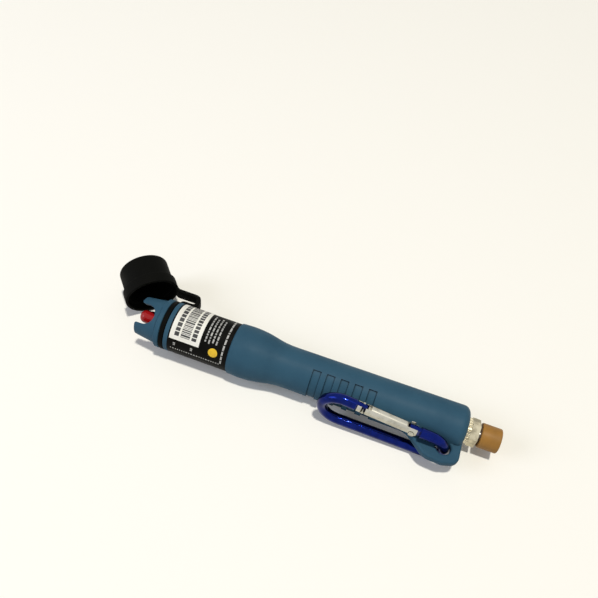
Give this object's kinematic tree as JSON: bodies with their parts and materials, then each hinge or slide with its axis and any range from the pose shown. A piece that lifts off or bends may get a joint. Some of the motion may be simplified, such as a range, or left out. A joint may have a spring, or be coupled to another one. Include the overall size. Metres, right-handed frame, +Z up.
{
  "type": "optical light source",
  "caption": "Pen-shaped red light source for tracing optical fibres, with a capped optical port, a tail push switch, a tethered rubber cap and a spring clip on a lug.",
  "frame": {"origin": "middle of the object's box, on the table it lies on", "axes": "+Z up from the table; X along the pen, head to -X; the lug and clip face -Y"},
  "size_m": [0.2172, 0.0586, 0.0303],
  "materials": {
    "slate_plastic": "fine moulded texture",
    "black_rubber": "matt",
    "red_plastic": "glossy",
    "port_metal": "turned",
    "white_ceramic": "ground",
    "module_brass": "turned",
    "lens_glass": "polished",
    "board_green": "lacquered",
    "insulator": "moulded",
    "cell_jacket": "printed jacket, plain",
    "spring_steel": "drawn wire",
    "nickel": "nickel plated",
    "tan_cap": "satin",
    "label_black": "satin film",
    "label_white": "coated paper",
    "blue_anodised": "anodised",
    "gate_metal": "bright"
  },
  "bodies": {
    "pen": {"housing": "slate_plastic", "nose_crown": "slate_plastic", "nose_seal": "black_rubber", "label_band": "label_black", "label_sticker": "label_white", "switch_washer": "nickel", "switch_nut": "nickel", "switch_bush": "nickel", "button_spring": "spring_steel", "switch_body": "insulator", "port_sleeve": "port_metal", "ferrule_sleeve": "white_ceramic", "laser_barrel": "module_brass", "laser_lens": "lens_glass", "laser_diode": "port_metal", "driver_board": "board_green", "contact_carrier": "insulator", "front_contact": "module_brass", "cell_front": "cell_jacket", "cell_rear": "cell_jacket", "tail_spring": "spring_steel"},
    "dust_cap": {"dust_cap": "red_plastic"},
    "tether": {"cap_tether": "black_rubber"},
    "cap": {"protective_cap": "black_rubber"},
    "button": {"push_cap": "tan_cap", "switch_plunger": "port_metal"},
    "clip": {"carabiner_body": "blue_anodised", "nose_pin": "gate_metal"},
    "gate": {"carabiner_gate": "gate_metal", "gate_pin": "gate_metal", "gate_spring": "spring_steel"}
  },
  "joints": [
    {"name": "tether_swivel", "type": "hinge", "parent": "pen", "child": "tether", "pos_m": [-0.06933, -0.00658, 0.01474], "axis": [-0.9998, 0, 0.02], "continuous": true},
    {"name": "cap_swing", "type": "hinge", "parent": "tether", "child": "cap", "pos_m": [-0.07712, 0.01437, 0.01489], "axis": [0.02, 0, 0.9998], "range_deg": [-40, 0], "deforming": ["cap_tether"]},
    {"name": "dust_cap_pull", "type": "slide", "parent": "pen", "child": "dust_cap", "axis": [-0.9998, 0, 0.02], "range_m": [0, 0.03]},
    {"name": "button_press", "type": "slide", "parent": "pen", "child": "button", "axis": [-0.9998, 0, 0.02], "range_m": [0, 0.001], "stiffness_N_per_m": 600, "springref_m": -0.002, "deforming": ["button_spring"]},
    {"name": "clip_swing", "type": "hinge", "parent": "pen", "child": "clip", "pos_m": [0.08234, -0.02118, 0.0117], "axis": [0.02, 0, 0.9998], "range_deg": [0, 170]},
    {"name": "gate_pivot", "type": "hinge", "parent": "clip", "child": "gate", "pos_m": [0.06496, -0.02115, 0.02039], "axis": [-0.0017, -1, 0], "range_deg": [0, 20], "stiffness_Nm_per_rad": 0.02, "springref_deg": -22.92}
  ]
}
